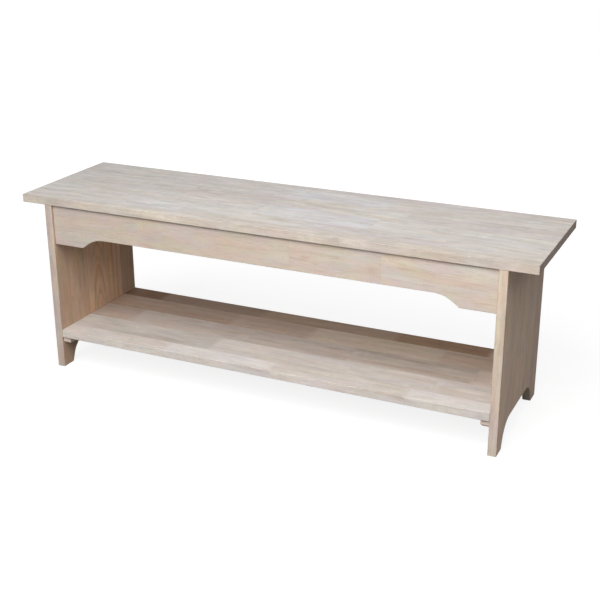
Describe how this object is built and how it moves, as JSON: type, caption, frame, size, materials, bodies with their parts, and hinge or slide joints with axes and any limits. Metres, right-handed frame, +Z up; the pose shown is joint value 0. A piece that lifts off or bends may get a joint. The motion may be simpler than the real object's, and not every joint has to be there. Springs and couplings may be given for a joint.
{
  "type": "bench with shelf",
  "caption": "Low wooden bench with a rectangular seat on two arched end panels, an arched apron under each long edge and an open shelf near the floor.",
  "frame": {"origin": "on the floor, under the middle of the seat", "axes": "+X along the seat to the right end, -Y to the front, +Z up"},
  "size_m": [1.2192, 0.33, 0.428],
  "materials": {
    "seat_wood": "bare sanded rubberwood, pale pinkish beige with brown pores and streaks",
    "shelf_wood": "bare sanded rubberwood, some blocks browner",
    "end_wood": "bare sanded rubberwood with the grain upright",
    "apron_wood": "bare sanded rubberwood with the grain lengthwise",
    "cleat_wood": "bare planed rubberwood",
    "dowel_wood": "plain turned beech",
    "screw_steel": "bright zinc plate"
  },
  "bodies": {
    "root": {"seat_stave_1": "seat_wood", "seat_stave_2": "seat_wood", "seat_stave_3": "seat_wood", "seat_stave_4": "seat_wood", "seat_stave_5": "seat_wood", "seat_stave_6": "seat_wood", "shelf_stave_1": "shelf_wood", "shelf_stave_2": "shelf_wood", "shelf_stave_3": "shelf_wood", "shelf_stave_4": "shelf_wood", "shelf_stave_5": "shelf_wood", "left_end_stave_1": "end_wood", "left_end_stave_2": "end_wood", "left_end_stave_3": "end_wood", "left_end_stave_4": "end_wood", "left_end_stave_5": "end_wood", "right_end_stave_1": "end_wood", "right_end_stave_2": "end_wood", "right_end_stave_3": "end_wood", "right_end_stave_4": "end_wood", "right_end_stave_5": "end_wood", "front_apron": "apron_wood", "rear_apron": "apron_wood", "front_seat_cleat": "cleat_wood", "rear_seat_cleat": "cleat_wood", "left_seat_cleat": "cleat_wood", "right_seat_cleat": "cleat_wood", "left_shelf_cleat": "cleat_wood", "right_shelf_cleat": "cleat_wood", "front_seat_cleat_side_screws": "screw_steel", "front_seat_cleat_upward_screws": "screw_steel", "rear_seat_cleat_side_screws": "screw_steel", "rear_seat_cleat_upward_screws": "screw_steel", "left_seat_cleat_side_screws": "screw_steel", "left_seat_cleat_upward_screws": "screw_steel", "right_seat_cleat_side_screws": "screw_steel", "right_seat_cleat_upward_screws": "screw_steel", "left_shelf_cleat_side_screws": "screw_steel", "left_shelf_cleat_upward_screws": "screw_steel", "right_shelf_cleat_side_screws": "screw_steel", "right_shelf_cleat_upward_screws": "screw_steel", "front_left_dowels": "dowel_wood", "front_right_dowels": "dowel_wood", "rear_left_dowels": "dowel_wood", "rear_right_dowels": "dowel_wood"}
  },
  "joints": []
}
